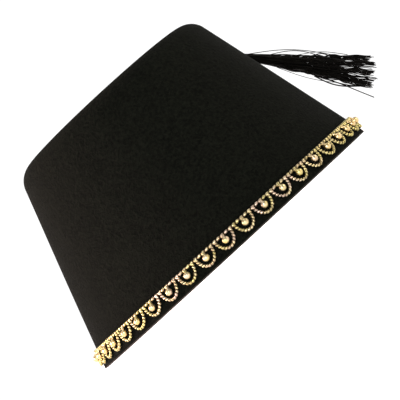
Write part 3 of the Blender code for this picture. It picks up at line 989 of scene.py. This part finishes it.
def strands_in_locks():
    """Each lock has a seat in the bundle's round, and each strand a seat in its lock: like seeds in a
    sunflower, a golden angle on from the last, at a radius that is the root of its share. As the bundle
    widens, each lock draws together, so slits open between them. Locks sway, and so do strands."""
    *lock_seat, tip, strands = np.array(LOCKS).T
    member = np.repeat(np.arange(len(LOCKS)), strands.astype(int))
    number = np.concatenate([np.arange(count) for count in strands.astype(int)])
    angle = number * GOLDEN_ANGLE + member
    seat = np.sqrt((number + 0.5) / strands[member]) * np.array([np.cos(angle), np.sin(angle)])
    length = tip[member] + random.normal(0, TIP_RAGGEDNESS, len(member))

    share, along, width = down_bundle(length)
    drawn = np.clip((share - LOCKS_PART[0]) / (LOCKS_PART[1] - LOCKS_PART[0]), 0, 1)
    lock_width = LOCK_WIDTH[0] + (LOCK_WIDTH[1] - LOCK_WIDTH[0]) * drawn**2 * (3 - 2 * drawn)
    lines = swaying(len(LOCKS), tip[:, None] * share, LOCK_WAVE, LOCK_SWAY, share)[:, member]
    lines = lines + swaying(len(member), along, STRAND_WAVE, STRAND_SWAY, share)
    lines += width * (1 - lock_width) * np.array(lock_seat)[:, member, None]
    lines += width * lock_width * seat[..., None]
    return thread(along, *lines, STRAND_RADIUS * (1 - TIP_THINNING * share**6), STRAND_COLUMNS)


make_piece("tassel_strands", [skin(strands_in_locks()), skin(wandering_strands())], SILK, "silk", "tassel")

# %% [markdown]
# Some filaments fly off any tassel, and the photograph shows them as fine curved lines. Drawn by lot they
# would land elsewhere, so each is a row in a table.

# %% Stray hairs
STRAY_HAIRS = [
    # (side that it bows to in degrees, 90 being off the hat, and in millimetres: where it leaves the bundle,
    # where it ends, how far it bows, how far its tip flies, its radius)
    (84, 12, 70, 3.4, 0.0, 0.24),
    (96, 24, 58, 3.0, 0.0, 0.24),
    (70, 40, 71, 2.0, 1.0, 0.20),
    (-88, 50, 88, 0.6, 4.2, 0.30),
    (-94, 52, 78.5, 1.9, 0.0, 0.40),
    (-84, 50, 79, 1.4, 0.0, 0.36),
    (-100, 30, 66, 1.4, 0.4, 0.17),
    (190, 45, 83, 1.8, 2.2, 0.20),
    (10, 20, 70, 3.0, 0.6, 0.17),
    (-35, 34, 86, 1.2, 3.0, 0.20),
    (150, 28, 75, 2.6, 1.0, 0.17),
]
HAIR_SEAT = 0.9  # share of the bundle's radius at which they lie
HAIR_RINGS, HAIR_COLUMNS = 28, 5
HAIR_WEAVE, WEAVE_PACE, WEAVE_START = 0.12, 4, 900  # in radians: how far a hair weaves, how fast, from where


def stray_hairs():
    """Single filaments that leave the bundle's skin: a sine bows each out between its ends, and a square of
    the share along it lets the tip fly off."""
    table = np.array(STRAY_HAIRS).T[:, :, None]
    side, (start, end, bow, fly, thick) = np.radians(table[0]), table[1:] / MM
    share = np.linspace(0, 1, HAIR_RINGS)
    along = start + share * (end - start)
    reach = HAIR_SEAT * bundle_radius(along) + bow * np.sin(math.pi * share) + fly * share**2
    side = side + HAIR_WEAVE * np.sin(WEAVE_PACE * share + start * WEAVE_START)
    skins = [skin(thread(along, reach * np.sin(side), reach * np.cos(side), thick, HAIR_COLUMNS))]
    make_piece("stray_hairs", skins, SILK, "silk", "tassel")


stray_hairs()

# %% [markdown]
# ## The button
#
# The crown's middle can't be seen either. A flat covered button stands there: a disc with cloth of a close
# plain weave drawn over it. A bevelled cylinder would keep its flat top, so a low dome is spun.

# %% The covered button
BUTTON_RADIUS = 0.0055
BUTTON_HEIGHT = 0.0018
BUTTON_RINGS, BUTTON_COLUMNS = 18, 48
BUTTON_TOP = 0.02  # radians from the axis at which the dome's first ring stands
DOME_FLATNESS, DOME_CREST = 0.75, 0.8  # powers of its radius and height: 1 is an ellipse, and less is squarer
BUTTON_FOOT = np.array([(1.0, 0.12), (0.97, 0.02), (0.6, 0.0), (0.1, 0.0)])  # (radius, height) as shares
WEAVE, WEAVE_DEPTH = 0.0005, 0.0001  # the threads are drawn coarser than the real fifth of a millimetre


def button_cloth():
    """Plain weave: the product of two sines square to each other, as a bump under a black cloth."""
    finish, tree, shader = new_finish("black plain-weave cloth", Base_Color=linear("#0C0B09"), Roughness=0.8,
                                      Specular_IOR_Level=0.10)
    apart = add(tree, "SeparateXYZ", {0: add(tree, "TexCoord").outputs["Object"]})
    warp, weft = (ripples(tree, apart.outputs[axis], WEAVE) for axis in "XY")
    woven = add(tree, "Math", {0: warp, 1: weft}, operation="MULTIPLY")
    height = add(tree, "MapRange", {"Value": woven, "From Min": -1.0, "From Max": 1.0})
    bump = add(tree, "Bump", {"Height": height, "Strength": 0.5, "Distance": WEAVE_DEPTH})
    tree.links.new(bump.outputs["Normal"], shader.inputs["Normal"])
    return finish


def button_cover():
    """Half of a flattened superellipse over a low foot, spun round the leaning axis over its seat."""
    angle = np.linspace(BUTTON_TOP, math.pi / 2, BUTTON_RINGS)
    dome = together(np.sin(angle) ** DOME_FLATNESS, (1 + np.cos(angle) ** DOME_CREST) / 2)
    outline = np.concatenate([dome, BUTTON_FOOT])
    radius, height = BUTTON_RADIUS * outline[:, :1], BUTTON_HEIGHT * outline[:, 1:]
    turn = evenly_round(BUTTON_COLUMNS)
    points = leaned(radius * np.cos(turn), radius * np.sin(turn), HEIGHT + GAP + height)
    make_piece("button_cover", [skin(points[None])], button_cloth(), "button_cloth", "crown_button")


button_cover()

# %% [markdown]
# Last, the view layer is brought up to date.

# %% Bring the view layer up to date
bpy.context.view_layer.update()
